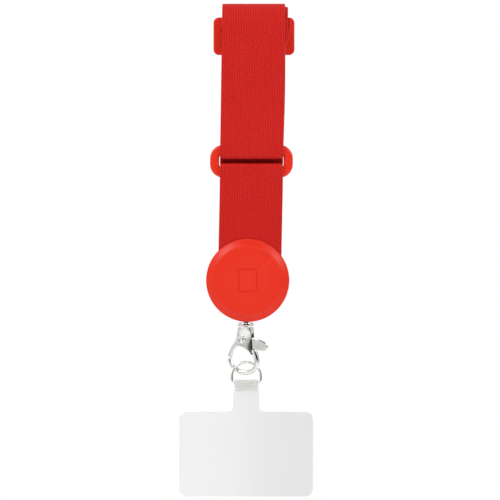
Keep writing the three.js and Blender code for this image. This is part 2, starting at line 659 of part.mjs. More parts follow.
function addTether() {
  const wire = () => RING.wire;
  place(ring, "d_ring", planarTube(ringCurve(), 44, 8, wire, wire), nickel);
  const bar = RING.top - RING.h + RING.wire;
  const off = RING.wire + RIBBON.slack + RIBBON.t / 2;
  const top = bar + RING.wire + GAP + RIBBON.t / 2;
  const side = (s) => [
    [s * RIBBON.flat, RIBBON.bottom],
    [s * RIBBON.flat, RIBBON.bottom + 2, 2],
    [s * off, bar - 1, 1],
  ];
  const corners = [
    ...side(-1),
    [-off, top, off * 0.8],
    [off, top, off * 0.8],
    ...side(1).reverse(),
  ];
  place(tether, "ribbon_loop", strap(route(corners, 3), RIBBON.w, RIBBON.t, () => 0), ribbonGrey);
  place(tether, "tether_patch", plate(patchOutline(), PATCH.t, 0, 0.15, 1, 5), clearPlastic);
}

function patchOutline() {
  const { w, h, r, neckW, neckTop, top, fillet } = PATCH;
  const shape = new THREE.Shape();
  const n = neckW / 2;
  const bottom = top - h;
  shape.moveTo(-5, neckTop);
  shape.lineTo(-5, RIBBON.bottom + 0.8);
  shape.quadraticCurveTo(-n, RIBBON.bottom + 0.4, -n, RIBBON.bottom - 1.2);
  shape.lineTo(-n, top + fillet);
  shape.quadraticCurveTo(-n, top, -n - fillet, top);
  shape.lineTo(-w / 2 + r, top);
  shape.absarc(-w / 2 + r, top - r, r, Math.PI / 2, Math.PI);
  shape.absarc(-w / 2 + r, bottom + r, r, Math.PI, 1.5 * Math.PI);
  shape.absarc(w / 2 - r, bottom + r, r, 1.5 * Math.PI, 2 * Math.PI);
  shape.absarc(w / 2 - r, top - r, r, 0, Math.PI / 2);
  shape.lineTo(n + fillet, top);
  shape.quadraticCurveTo(n, top, n, top + fillet);
  shape.lineTo(n, RIBBON.bottom - 1.2);
  shape.quadraticCurveTo(n, RIBBON.bottom + 0.4, 5, RIBBON.bottom + 0.8);
  shape.lineTo(5, neckTop);
  return shape;
}

addAdjusterStrap();
addNeckStrap();
addLowerStrap();
addSlider();
addSliderWebbing();
addStrapLoop();
addHousing();
addSwivelEye();
addClasp();
addTether();

export default part;
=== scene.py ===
"""Looks for a hanging neck lanyard: webbing, buckles, joining housing, swivel clasp, ring and clear patch.

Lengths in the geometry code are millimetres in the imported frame, and MM turns them into metres.
"""

import math

import bmesh
import bpy
from mathutils import Matrix, Vector

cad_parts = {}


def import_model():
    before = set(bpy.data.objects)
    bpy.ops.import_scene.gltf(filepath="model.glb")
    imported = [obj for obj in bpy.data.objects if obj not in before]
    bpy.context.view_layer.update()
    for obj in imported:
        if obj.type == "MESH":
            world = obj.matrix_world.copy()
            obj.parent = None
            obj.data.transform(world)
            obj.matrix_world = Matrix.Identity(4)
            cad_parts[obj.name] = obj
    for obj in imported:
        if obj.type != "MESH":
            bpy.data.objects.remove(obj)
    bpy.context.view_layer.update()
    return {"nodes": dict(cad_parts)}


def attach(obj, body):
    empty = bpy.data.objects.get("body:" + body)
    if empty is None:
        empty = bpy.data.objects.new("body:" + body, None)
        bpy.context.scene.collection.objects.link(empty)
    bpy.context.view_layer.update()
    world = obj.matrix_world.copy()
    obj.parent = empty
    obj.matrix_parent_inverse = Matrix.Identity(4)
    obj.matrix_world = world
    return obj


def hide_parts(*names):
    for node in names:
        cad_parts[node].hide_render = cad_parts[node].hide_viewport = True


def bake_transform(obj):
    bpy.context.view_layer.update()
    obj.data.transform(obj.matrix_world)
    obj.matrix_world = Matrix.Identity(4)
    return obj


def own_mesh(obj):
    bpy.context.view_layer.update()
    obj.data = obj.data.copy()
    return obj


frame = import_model()
MM = 0.001

# ---- Driving dimensions, as in the CAD ----
GAP = 0.3
WEB_T = 1.15
WEB_W = 30
WRAP = GAP + WEB_T / 2
FOLD_NECK_R = 3.9
FOLD_SIDE_R = 5.5
PEG_Z = -(FOLD_NECK_R - WEB_T / 2)
SEWN_FRONT, SEWN_REAR = -7.1, 8.6
RUN_FRONT, RUN_REAR = -8.6, 10.1
TURN_BOTTOM_Z = -133
SPLIT_Z = -3.65
SLIDER = {"x": 1.4, "y": 12, "z": -8.6, "w": 38.8, "h": 18, "t": 2, "bar": 3, "r": 2.6}
LOOP = {"x": 0.2, "y": -9.475, "z": -68.7, "w": 39.4, "h": 15.7, "t": 3, "slot_h": 5, "r": 6.4}
LOOP_UPPER_BAR = LOOP["z"] + (LOOP["slot_h"] + LOOP["h"]) / 4
LOOP_LOWER_BAR = LOOP["z"] - (LOOP["slot_h"] + LOOP["h"]) / 4
LOOP_BAR_HALF = (LOOP["h"] - LOOP["slot_h"]) / 4
LOOP_FRONT = LOOP["y"] - LOOP["t"] / 2 - WRAP
LOOP_BACK = LOOP["y"] + LOOP["t"] / 2 + WRAP
BAR_BEND = 1.25  # centre-line radius of the webbing round a loop bar
SOFT_BEND = 20  # and where a layer turns a little aside
FULL_BEND = 0.999  # share of a half turn, so that its two corners do not meet
SEWN_GAP = 0.35  # between two layers that are sewn together
DISC = {"x": -1.6, "y": -9.5, "z": -125.3, "r": 19.8, "front": 4.5, "rear": 4.3, "wall": 1.4}
PIN_R = 1
PIN_Z = -120.3
NECK_START_Z = -102
SIDE_END_Y = -8
SIDE_END_Z = PIN_Z + 6
THREADED_END_Z = SLIDER["z"] - SLIDER["h"] / 2 - 1
SWIVEL_X = -2.6
EYE_Z = -136.2
CLASP_TOP_Z = -147.4
CLASP_TURN = math.radians(-22)
RING_TURN = math.radians(6)
RING = {"x": -2.2, "wire": 0.6, "w": 15, "h": 10.9, "top": -163.7, "corner": 1.8, "seam": 0.3}
RIBBON = {"w": 11.3, "t": 0.5, "bottom": -177.9, "slack": 0.85, "flat": 0.98}
PATCH = {
    "w": 63.5, "h": 40.4, "t": 0.8, "r": 4.1,
    "neck_w": 12.3, "neck_top": -176, "tab_half": 5, "top": -187.8, "fillet": 3,
}
RIVET = {"u": -1, "w": -6}  # in the clasp's own frame, u across and w up
GATE_REACH = 11.45


# ---- Mesh helpers ----
def shade(piece, angle=35):
    """Smooth shading that keeps edges sharper than the angle, and flat faces flat."""
    for polygon in piece.data.polygons:
        polygon.use_smooth = True
    piece.data.set_sharp_from_angle(angle=math.radians(angle))
    weighted = piece.modifiers.new("weighted", "WEIGHTED_NORMAL")
    weighted.keep_sharp = True
    return piece


def add_piece(name, mesh, weld=None):
    """Links a mesh as a piece, its normals outward and points nearer than weld metres joined."""
    edit = bmesh.new()
    edit.from_mesh(mesh)
    if weld:
        bmesh.ops.remove_doubles(edit, verts=edit.verts, dist=weld)
    bmesh.ops.recalc_face_normals(edit, faces=edit.faces)
    edit.to_mesh(mesh)
    edit.free()
    piece = bpy.data.objects.new(name, mesh)
    bpy.context.scene.collection.objects.link(piece)
    return piece


def mesh_piece(name, points, faces):
    mesh = bpy.data.meshes.new(name)
    mesh.from_pydata([Vector(p) * MM for p in points], [], faces)
    return add_piece(name, mesh, 1e-7)


def loft_faces(rings, sides):
    """Faces between successive rings of points, and a cap at each end."""
    faces = [tuple(range(sides)), tuple((rings - 1) * sides + k for k in reversed(range(sides)))]
    for i in range(rings - 1):
        for k in range(sides):
            m = (k + 1) % sides
            faces.append((i * sides + k, (i + 1) * sides + k, (i + 1) * sides + m, i * sides + m))
    return faces


def evaluated_mesh(piece):
    bpy.context.view_layer.update()
    graph = bpy.context.evaluated_depsgraph_get()
    return bpy.data.meshes.new_from_object(piece.evaluated_get(graph))


def apply_modifiers(piece):
    made = evaluated_mesh(piece)
    piece.modifiers.clear()
    piece.data = made
    return piece


def combine(piece, operation, tools):
    """Cuts the tools from the piece, or joins them to it."""
    for tool in tools:
        step = piece.modifiers.new("step", "BOOLEAN")
        step.operation = operation
        step.solver = "EXACT"
        step.object = tool
    apply_modifiers(piece)
    for tool in tools:
        bpy.data.objects.remove(tool)
    return piece


def place(piece, matrix):
    """Moves a piece's mesh by a matrix in millimetres."""
    matrix = matrix.copy()
    matrix.translation *= MM
    piece.data.transform(matrix)
    return piece


def block(x0, x1, y0, y1, z0, z1):
    points = [(x, y, z) for x in (x0, x1) for y in (y0, y1) for z in (z0, z1)]
    faces = [(0, 1, 3, 2), (4, 6, 7, 5), (0, 4, 5, 1), (2, 3, 7, 6), (0, 2, 6, 4), (1, 5, 7, 3)]
    return mesh_piece("block", points, faces)


def lathe(name, profile, segments=96):
    """A profile of (radius, height) points, from axis to axis, turned about Z."""
    points = []
    for k in range(segments):
        a = 2 * math.pi * k / segments
        points += [(r * math.cos(a), r * math.sin(a), h) for r, h in profile]
    n = len(profile)
    faces = []
    for k in range(segments):
        here, there = k * n, ((k + 1) % segments) * n
        for i in range(n - 1):
            ring = [here + i, there + i, there + i + 1, here + i + 1]
            if profile[i][0] == 0:
                ring.remove(there + i)
            if profile[i + 1][0] == 0:
                ring.remove(there + i + 1)
            faces.append(ring)
    return mesh_piece(name, points, faces)


ALONG_MINUS_Y = Matrix.Rotation(math.radians(90), 4, "X")
ALONG_PLUS_Y = Matrix.Rotation(math.radians(-90), 4, "X")


def rod_y(x, z, r, y0, y1, segments=32):
    rod = lathe("rod", [(0, y0), (r, y0), (r, y1), (0, y1)], segments)
    return place(rod, Matrix.Translation((x, 0, z)) @ ALONG_PLUS_Y)


def arc(x, z, r, start, end, steps=10):
    """Points on an arc; the angles are in degrees."""
    angles = [math.radians(start + (end - start) * k / steps) for k in range(steps + 1)]
    return [(x + r * math.cos(a), z + r * math.sin(a)) for a in angles]


def bend(a, b, c, steps=8):
    """Points on a quadratic curve from a to c, pulled towards b, without a itself."""
    points = []
    for k in range(1, steps + 1):
        t = k / steps
        p, q, r = (1 - t) ** 2, 2 * t * (1 - t), t * t
        points.append((p * a[0] + q * b[0] + r * c[0], p * a[1] + q * b[1] + r * c[1]))
    return points


def rounded_rectangle(w, h, r, x=0.0, z=0.0, steps=12):
    corners = [(1, 1, 0), (-1, 1, 90), (-1, -1, 180), (1, -1, 270)]
    points = []
    for sx, sz, start in corners:
        points += arc(x + sx * (w / 2 - r), z + sz * (h / 2 - r), r, start, start + 90, steps)
    return points


def plate(name, loops, thickness, y, round_over, steps=4):
    """A plate in the XZ plane with rounded edges, from an outline and its holes."""
    curve = bpy.data.curves.new(name, "CURVE")
    curve.dimensions = "2D"
    curve.fill_mode = "BOTH"
    curve.extrude = (thickness / 2 - round_over) * MM
    curve.bevel_depth = round_over * MM
    curve.offset = -round_over * MM
    curve.bevel_resolution = steps
    for loop in loops:
        spline = curve.splines.new("POLY")
        spline.points.add(len(loop) - 1)
        for point, (x, z) in zip(spline.points, loop):
            point.co = (x * MM, z * MM, 0, 1)
        spline.use_cyclic_u = True
    holder = bpy.data.objects.new("holder", curve)
    bpy.context.scene.collection.objects.link(holder)
    mesh = evaluated_mesh(holder)
    bpy.data.objects.remove(holder)
    piece = add_piece(name, mesh, 1e-6)
    return place(piece, Matrix.Translation((0, y, 0)) @ ALONG_MINUS_Y)


def tube(name, points, sides, section, closed=False):
    """A tube through 3-D points whose section(share) gives (radius across, radius along Y)."""
    spots = [Vector(p) for p in points]
    count = len(spots)
    made = []
    for i, spot in enumerate(spots):
        after = spots[(i + 1) % count] if closed or i < count - 1 else spot
        before = spots[i - 1] if closed or i > 0 else spot
        along = (after - before).normalized()
        side = along.cross(Vector((0, 1, 0))).normalized()
        other = side.cross(along).normalized()
        across, deep = section(i / (count - 1))
        for k in range(sides):
            a = 2 * math.pi * k / sides
            made.append(spot + side * across * math.cos(a) + other * deep * math.sin(a))
    faces = []
    for i in range(count if closed else count - 1):
        for k in range(sides):
            j, m = (i + 1) % count, (k + 1) % sides
            faces.append((i * sides + k, i * sides + m, j * sides + m, j * sides + k))
    if not closed:
        faces.append(tuple(range(sides)))
        faces.append(tuple((count - 1) * sides + k for k in reversed(range(sides))))
    return mesh_piece(name, made, faces)


def cast(piece, voxel, rounds):
    """Melts a piece's joins together, as in a die-cast and polished part."""
    remesh = piece.modifiers.new("remesh", "REMESH")
    remesh.mode = "VOXEL"
    remesh.voxel_size = voxel * MM
    smooth = piece.modifiers.new("smooth", "SMOOTH")
    smooth.factor = 0.5
    smooth.iterations = rounds
    return apply_modifiers(piece)


# ---- Materials ----
class Graph:
    """A material's node tree round its Principled shader."""

    def __init__(self, name, **constants):
        self.material = bpy.data.materials.new(name)
        self.material.use_nodes = True
        self.tree = self.material.node_tree
        self.shader = self.tree.nodes["Principled BSDF"]
        for key, value in constants.items():
            self.shader.inputs[key.replace("_", " ")].default_value = value

    def feed(self, socket, value):
        if isinstance(value, bpy.types.NodeSocket):
            self.tree.links.new(value, socket)
        else:
            socket.default_value = value

    def node(self, kind, inputs=None, **settings):
        node = self.tree.nodes.new("ShaderNode" + kind)
        for key, value in settings.items():
            setattr(node, key, value)
        for key, value in (inputs or {}).items():
            self.feed(node.inputs[key], value)
        return node

    def math(self, operation, a, b=0.0):
        return self.node("Math", {0: a, 1: b}, operation=operation).outputs[0]

    def object_coordinates(self):
        return self.node("TexCoord").outputs["Object"]

    def stretched(self, vector, x, y, z):
        return self.node("Mapping", {"Vector": vector, "Scale": (x, y, z)}).outputs["Vector"]

    def noise(self, vector, scale, detail=3.0):
        made = self.node("TexNoise", {"Vector": vector, "Scale": scale, "Detail": detail})
        return made.outputs["Fac"]

    def spread(self, value, low, high, out_low=0.0, out_high=1.0):
        ends = {"Value": value, "From Min": low, "From Max": high, "To Min": out_low, "To Max": out_high}
        return self.node("MapRange", ends).outputs["Result"]

    def mix(self, share, a, b):
        return self.node("Mix", {0: share, 6: a, 7: b}, data_type="RGBA").outputs[2]

    def edges(self, low=0.51, high=0.58):
        """0 on faces, 1 on edges that stand out."""
        return self.spread(self.node("NewGeometry").outputs["Pointiness"], low, high)

    def bump(self, height, strength, distance):
        inputs = {"Height": height, "Strength": strength, "Distance": distance * MM}
        self.feed(self.shader.inputs["Normal"], self.node("Bump", inputs).outputs["Normal"])

    def colour(self, value):
        self.feed(self.shader.inputs["Base Color"], value)

    def roughness(self, value):
        self.feed(self.shader.inputs["Roughness"], value)


COLUMN = 0.8 * MM  # one warp yarn of the webbing
PICK = 0.92 * MM  # one float along a warp yarn
STAGGER = 0.45  # how far each yarn's floats are shifted from its neighbour's


def webbing_material(name, follows_piece):
    """Warp-faced polyester webbing: staggered floats, fine filaments, faint sheen, painted shade in the
    weave's valleys and painted highlights on the float tops.
    """
    g = Graph(name, Sheen_Weight=0.02, Sheen_Roughness=0.45, Specular_IOR_Level=0.12)
    if follows_piece:
        vector = g.node("Attribute", attribute_name="weave").outputs["Vector"]
    else:
        vector = g.object_coordinates()
    split = g.node("SeparateXYZ", {"Vector": vector})
    across = split.outputs["X"]
    along = split.outputs["Y" if follows_piece else "Z"]
    yarn = g.math("DIVIDE", across, COLUMN)
    column = g.math("FLOOR", yarn)
    from_middle = g.math("SUBTRACT", g.math("FRACT", yarn), 0.5)
    shifted = g.math("ADD", g.math("DIVIDE", along, PICK), g.math("MULTIPLY", column, STAGGER))
    from_float = g.math("SUBTRACT", g.math("FRACT", shifted), 0.5)
    crown = g.math("COSINE", g.math("MULTIPLY", from_middle, math.pi))
    rise = g.math("COSINE", g.math("MULTIPLY", from_float, math.pi))
    height = g.math("MULTIPLY", g.math("POWER", crown, 0.7), rise)
    filaments = g.noise(g.stretched(vector, 9000, 700 if follows_piece else 9000, 700), 1.0, 2.0)
    # Painted shade and highlight: the colour runs from dark red in the weave's valleys to bright red on
    # the float tops, following the weave's height.
    lit = g.math("MULTIPLY", g.spread(height, 0.15, 0.9), g.spread(filaments, 0.25, 0.75, 0.8, 1.0))
    base = g.mix(lit, (0.34, 0.002, 0.003, 1), (0.86, 0.034, 0.022, 1))
    patches = g.noise(vector, 60.0, 4.0)
    g.colour(g.mix(g.spread(patches, 0.3, 0.7, 0.0, 0.2), base, (0.50, 0.005, 0.006, 1)))
    g.roughness(g.spread(lit, 0.0, 1.0, 0.8, 0.58))
    g.bump(g.math("ADD", height, g.math("MULTIPLY", filaments, 0.25)), 0.6, 0.12)
    return g.material


def plastic_material(name, base, deep, grain=0.35):
    """Satin moulded plastic: fine spark texture, faint flow marks, edges rubbed lighter."""
    g = Graph(name, Specular_IOR_Level=0.28, Coat_Weight=0.03, Coat_Roughness=0.3)
    where = g.object_coordinates()
    flow = g.noise(g.stretched(where, 1.0, 1.0, 0.4), 45.0, 4.0)
    fine = g.noise(where, 5200.0, 2.0)
    body = g.mix(g.spread(flow, 0.3, 0.7, 0.0, 0.5), base, deep)
    rubbed = tuple(min(1.0, c * 1.08 + 0.02) for c in base[:3]) + (1,)
    g.colour(g.mix(g.math("MULTIPLY", g.edges(), 0.5), body, rubbed))
    g.roughness(g.spread(g.math("ADD", flow, g.math("MULTIPLY", fine, 0.5)), 0.4, 1.1, 0.3, 0.42))
    g.bump(fine, grain, 0.02)
    return g.material


def nickel_material(name):
    """Polished plated metal with hairline scratches and duller hollows."""
    g = Graph(name, Metallic=1.0)
    where = g.object_coordinates()
    cloud = g.noise(where, 350.0, 5.0)
    hairline = g.noise(g.stretched(where, 14000, 3000, 900), 1.0, 2.0)
    tone = g.mix(g.spread(cloud, 0.3, 0.7), (0.80, 0.79, 0.76, 1), (0.70, 0.69, 0.66, 1))
    g.colour(g.mix(g.math("MULTIPLY", g.edges(), 0.4), tone, (0.88, 0.87, 0.85, 1)))
    g.roughness(g.spread(cloud, 0.3, 0.7, 0.07, 0.16))
    g.bump(hairline, 0.12, 0.01)
    return g.material


def steel_material(name):
    """Turned steel with fine rings of tool marks."""
    g = Graph(name, Metallic=1.0, Anisotropic=0.3)
    where = g.object_coordinates()
    marks = g.noise(g.stretched(where, 2500, 12000, 2500), 1.0, 3.0)
    tone = g.mix(g.spread(marks, 0.3, 0.7), (0.42, 0.43, 0.44, 1), (0.56, 0.57, 0.58, 1))
    g.colour(g.mix(g.math("MULTIPLY", g.edges(), 0.5), tone, (0.72, 0.73, 0.74, 1)))
    g.roughness(g.spread(marks, 0.3, 0.7, 0.28, 0.42))
    g.bump(marks, 0.2, 0.01)
    return g.material


def ribbon_material(name):
    """Thin grey translucent band with fine cross ribs, painted lighter on the rib crests and darker in the
    troughs.
    """
    g = Graph(name, Transmission_Weight=0.5, IOR=1.2, Specular_IOR_Level=0.3)
    vector = g.node("Attribute", attribute_name="weave").outputs["Vector"]
    split = g.node("SeparateXYZ", {"Vector": vector})
    ribs = g.math("SINE", g.math("MULTIPLY", split.outputs["Y"], 2 * math.pi / (0.45 * MM)))
    fibres = g.noise(g.stretched(vector, 6000, 1500, 1000), 1.0, 2.0)
    # Painted highlight and shade along the ribs: crests lighter, troughs darker. The fibre noise adds tone
    # that differs at random.
    rib_shade_and_fibre_tone = g.math("ADD", g.spread(ribs, -1.0, 1.0, 0.0, 0.5), g.math("MULTIPLY", fibres, 0.5))
    g.colour(g.mix(rib_shade_and_fibre_tone, (0.84, 0.85, 0.82, 1), (0.92, 0.93, 0.91, 1)))
    g.roughness(g.spread(fibres, 0.3, 0.7, 0.45, 0.6))
    g.bump(g.math("ADD", ribs, fibres), 0.25, 0.03)
    return g.material


def clear_material(name):
    """Clear flexible sheet with faint cloudiness and light scuffs."""
    g = Graph(name, Transmission_Weight=0.93, IOR=1.35, Specular_IOR_Level=0.5)
    where = g.object_coordinates()
    cloud = g.noise(where, 40.0, 4.0)
    scuffs = g.noise(g.stretched(where, 900, 900, 5000), 1.0, 3.0)
    g.colour(g.mix(g.spread(cloud, 0.3, 0.7), (1.0, 1.0, 1.0, 1), (0.985, 0.99, 0.995, 1)))
    g.roughness(g.spread(scuffs, 0.4, 0.8, 0.05, 0.2))
    g.bump(g.math("ADD", cloud, g.math("MULTIPLY", scuffs, 0.1)), 0.12, 0.05)
    return g.material


WEBBING = webbing_material("webbing", True)
WEBBING_FIXED = webbing_material("webbing_in_place", False)
PLASTIC = plastic_material("red_plastic", (0.75, 0.022, 0.004, 1), (0.71, 0.017, 0.003, 1))
THREAD = plastic_material("stitch_thread", (0.60, 0.018, 0.015, 1), (0.45, 0.010, 0.010, 1), 0.6)
NICKEL = nickel_material("nickel")
STEEL = steel_material("steel")
RIBBON_BAND = ribbon_material("ribbon")
CLEAR = clear_material("clear_plastic")


def settle(piece, material, body=None, replaced=()):
    """Gives a finished piece its material and tells the frame what it rides on and stands for."""
    piece.data.materials.clear()
    piece.data.materials.append(material)
    if body:
        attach(piece, body)
    if replaced:
        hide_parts(*replaced)
    return piece


# ---- Webbing ----
def route(corners, step=0.8):
    """Points through corners (y, z, radius), rounded, no further apart than the step."""
    points = [Vector(corners[0][:2])]
    for before, here, after in zip(corners, corners[1:], corners[2:]):
        spot = Vector(here[:2])
        into = (Vector(before[:2]) - spot).normalized()
        out = (Vector(after[:2]) - spot).normalized()
        half = math.acos(max(-1.0, min(1.0, into.dot(out)))) / 2
        if math.pi - 2 * half < 1e-3:
            points.append(spot)
            continue
        r = here[2]
        start = spot + into * (r / math.tan(half))
        centre = spot + (into + out).normalized() * (r / math.sin(half))
        first = start - centre
        sweep = math.pi - 2 * half
        turn = -1 if into.cross(out) > 0 else 1
        arcs = max(3, math.ceil(sweep / math.radians(7)))
        for k in range(arcs + 1):
            a = turn * sweep * k / arcs
            rotated = (
                first.x * math.cos(a) - first.y * math.sin(a),
                first.x * math.sin(a) + first.y * math.cos(a),
            )
            points.append(centre + Vector(rotated))
    points.append(Vector(corners[-1][:2]))
    spread = [points[0]]
    for a, b in zip(points, points[1:]):
        gap = (b - a).length
        if gap > 1e-4:
            parts = math.ceil(gap / step)
            spread += [a.lerp(b, k / parts) for k in range(1, parts + 1)]
    return spread


def band_section(width, thickness, columns):
    """A woven band's section (across, off): a faint groove inside each edge, and round edges."""
    half, t = width / 2, thickness / 2
    flat = []
    for k in range(columns + 1):
        s = (half - t) * (2 * k / columns - 1)
        from_edge = half - abs(s)
        flat.append((s, t - 0.1 * t * math.exp(-(((from_edge - 1.3) / 0.4) ** 2))))
    edge = [math.radians(90 - 180 * k / 6) for k in range(1, 6)]
    right = [(half - t + t * math.cos(a), t * math.sin(a)) for a in edge]
    return flat + right + [(s, -n) for s, n in reversed(flat)] + [(-s, -n) for s, n in right]


def band(name, points, width, thickness, drift, columns=36):
    """A band along a YZ route. drift(i, y, z) moves it sideways at the i-th point."""
    section = band_section(width, thickness, columns)
    made, weave = [], []
    along = 0.0
    for i, point in enumerate(points):
        ahead = (points[i + 1] - point if i < len(points) - 1 else point - points[i - 1]).normalized()
        behind = (point - points[i - 1]).normalized() if i else ahead
        tangent = (ahead + behind).normalized()
        off = Vector((-tangent.y, tangent.x)) / tangent.dot(ahead)
        along += (point - points[i - 1]).length if i else 0.0
        x = drift(i, point.x, point.y)
        for s, n in section:
            spot = point + off * n
            made.append((x + s, spot.x + ripple(x + s, spot.x, spot.y), spot.y))
            weave.append((s * MM, along * MM, n * MM))
    mesh = bpy.data.meshes.new(name)
    mesh.from_pydata([Vector(p) * MM for p in made], [], loft_faces(len(points), len(section)))
    mesh.attributes.new("weave", "FLOAT_VECTOR", "POINT")
    mesh.attributes["weave"].data.foreach_set("vector", [c for w in weave for c in w])
    piece = add_piece(name, mesh)
    for polygon in mesh.polygons:
        polygon.use_smooth = len(polygon.vertices) == 4
    return piece


def ease(value, low, high):
    t = max(0.0, min(1.0, (value - low) / (high - low)))
    return t * t * (3 - 2 * t)


def ripple(x, y, z):
    """A faint wave that all the layers share, none near the folds, buckles and housing."""
    free = ease(-z, 24, 34) * (1 - ease(-z, 48, 56)) + ease(-z, 80, 84) * (1 - ease(-z, 94, 100))
    return 0.16 * free * math.sin(z / 7.0 + x / 9.0)


def lean(z):
    """How far the layers stand to the right above the strap loop."""
    return 0.2 + (max(z, LOOP["z"]) - LOOP["z"]) / -LOOP["z"]


def sway(z):
    """The same, carried on down to the housing."""
    return lean(z) * ease(z, DISC["z"], LOOP["z"]) - 0.6 * ease(-z, -LOOP["z"], -DISC["z"])


FAN_FROM, FAN_TO = -22, -2  # heights between which the layers spread to the right
SEWN_FAN = 1.4
SIDE_FAN = 2.9


def over_peg(y_from, y_to):
    """The two corners of a turn over the peg between two layers."""
    r = abs(y_to - y_from) / 2
    return [(y_from, PEG_Z + r, r * FULL_BEND), (y_to, PEG_Z + r, r * FULL_BEND)]


def adjuster_webbing():
    under = LOOP_UPPER_BAR - LOOP_BAR_HALF - WRAP
    points = route([
        (SEWN_REAR, SPLIT_Z + GAP),
        *over_peg(SEWN_REAR, SEWN_FRONT),
        (SEWN_FRONT, LOOP_UPPER_BAR + 12, SOFT_BEND),
        (LOOP_BACK, LOOP_UPPER_BAR, 8),
        (LOOP_BACK, under, BAR_BEND),
        (LOOP_FRONT, under, BAR_BEND),
        (LOOP_FRONT, LOOP_UPPER_BAR + 4.5, 12),
        (RUN_FRONT, LOOP_UPPER_BAR + 20, SOFT_BEND),
        *over_peg(RUN_FRONT, RUN_REAR),
        (RUN_REAR, SPLIT_Z + GAP),
    ])
    lowest = min(range(len(points)), key=lambda i: points[i].y)

    def drift(i, y, z):
        own = lean(z) + (SEWN_FAN * ease(z, FAN_FROM, FAN_TO) if i <= lowest else 0.0)
        rear = ease(y, 0, SEWN_REAR)
        return own * (1 - rear) + SLIDER["x"] * rear

    piece = band("adjuster_webbing", points, WEB_W, WEB_T, drift)
    return settle(piece, WEBBING, "strap", ["adjuster_strap"])


def neck_webbing():
    bottom = TURN_BOTTOM_Z + WEB_T / 2
    outer_r = (RUN_REAR + FOLD_NECK_R) / 2
    middle = (FOLD_NECK_R + FOLD_SIDE_R) / 2
    inner_r = 1.7
    inner_bottom = bottom + 6
    points = route([
        (RUN_REAR, NECK_START_Z),
        (RUN_REAR, bottom, outer_r * FULL_BEND),
        (-FOLD_NECK_R, bottom, outer_r * FULL_BEND),
        *over_peg(-FOLD_NECK_R, FOLD_NECK_R),
        (FOLD_NECK_R, inner_bottom + 14, SOFT_BEND),
        (middle - inner_r, inner_bottom + 7, SOFT_BEND),
        (middle - inner_r, inner_bottom, inner_r * FULL_BEND),
        (middle + inner_r, inner_bottom, inner_r * FULL_BEND),
        (middle + inner_r, inner_bottom + 7, SOFT_BEND),
        (FOLD_SIDE_R, inner_bottom + 14, SOFT_BEND),
        *over_peg(FOLD_SIDE_R, -FOLD_SIDE_R),
        (-FOLD_SIDE_R, LOOP["z"] - LOOP["h"] / 2 - 6, SOFT_BEND),
        (SIDE_END_Y, DISC["z"] + DISC["r"] + 2, SOFT_BEND),
        (SIDE_END_Y, SIDE_END_Z),
    ])

    def drift(i, y, z):
        fanned = z > LOOP["z"] and abs(y) > middle
        return sway(z) + (SIDE_FAN * ease(z, FAN_FROM, FAN_TO) if fanned else 0.0)

    piece = band("neck_webbing", points, WEB_W, WEB_T, drift)
    return settle(piece, WEBBING, "strap", ["neck_strap"])


def lower_webbing():
    over = LOOP_LOWER_BAR + LOOP_BAR_HALF + WRAP
    entry = DISC["z"] + DISC["r"] + 2
    pin_off = PIN_R + WRAP
    seam = PIN_Z + 1.2
    points = route([
        (DISC["y"] - pin_off, seam - SEWN_GAP),
        (DISC["y"] - pin_off, PIN_Z - pin_off, pin_off * 0.98),
        (DISC["y"] + pin_off, PIN_Z - pin_off, pin_off * 0.98),
        (DISC["y"] + pin_off, PIN_Z + 1.5, 3),
        (SIDE_END_Y - 1.6, PIN_Z + 5.5, 3),
        (SIDE_END_Y - 1.6, entry, SOFT_BEND),
        (LOOP_BACK, LOOP_LOWER_BAR - 5, 12),
        (LOOP_BACK, over, BAR_BEND),
        (LOOP_FRONT, over, BAR_BEND),
        (LOOP_FRONT, LOOP_LOWER_BAR - 5, 12),
        (SIDE_END_Y - 3.1, entry, SOFT_BEND),
        (SIDE_END_Y - 3.1, PIN_Z + 5.5, 3),
        (DISC["y"] - pin_off, PIN_Z + 3, 1.5),
        (DISC["y"] - pin_off, seam),
    ])

    def drift(i, y, z):
        return 0.2 - 0.8 * ease(-z, -LOOP["z"], -DISC["z"])

    piece = band("lower_webbing", points, WEB_W, WEB_T, drift)
    return settle(piece, WEBBING, "strap", ["lower_strap"])


def slider_webbing():
    """The sewn end round the slider's middle bar, and the running length threaded through it."""
    bar = SLIDER["bar"] / 2
    reach = SLIDER["t"] / 2 + WRAP
    pitch = WEB_T + SEWN_GAP
    top = SLIDER["z"] + bar + WRAP
    bottom = SLIDER["z"] - bar - WRAP
    out_y = SLIDER["y"] + reach
    tail_y = SEWN_REAR - pitch
    sewn = route([
        (SEWN_REAR, SPLIT_Z),
        (SEWN_REAR, top + 0.3, 0.9),
        (SLIDER["y"] - 0.5, top, 1),
        (out_y, top, 0.95),
        (out_y, bottom, 0.95),
        (SEWN_REAR + 0.9, bottom, 1),
        (tail_y, bottom + 2.6, 1),
        (tail_y, PEG_Z + 0.2),
    ], 0.5)
    run = route([
        (RUN_REAR, SPLIT_Z),
        (RUN_REAR, top + pitch, 0.7),
        (out_y + pitch, top + pitch, 0.9),
        (out_y + pitch, bottom - pitch, 0.9),
        (RUN_REAR, bottom - pitch, 0.9),
        (RUN_REAR, THREADED_END_Z),
    ], 0.5)
    for name, points, node in (
        ("sewn_end_webbing", sewn, "sewn_end"),
        ("threaded_webbing", run, "threaded_length"),
    ):
        piece = band(name, points, WEB_W, WEB_T, lambda i, y, z: SLIDER["x"])
        settle(piece, WEBBING, "slider", [node])


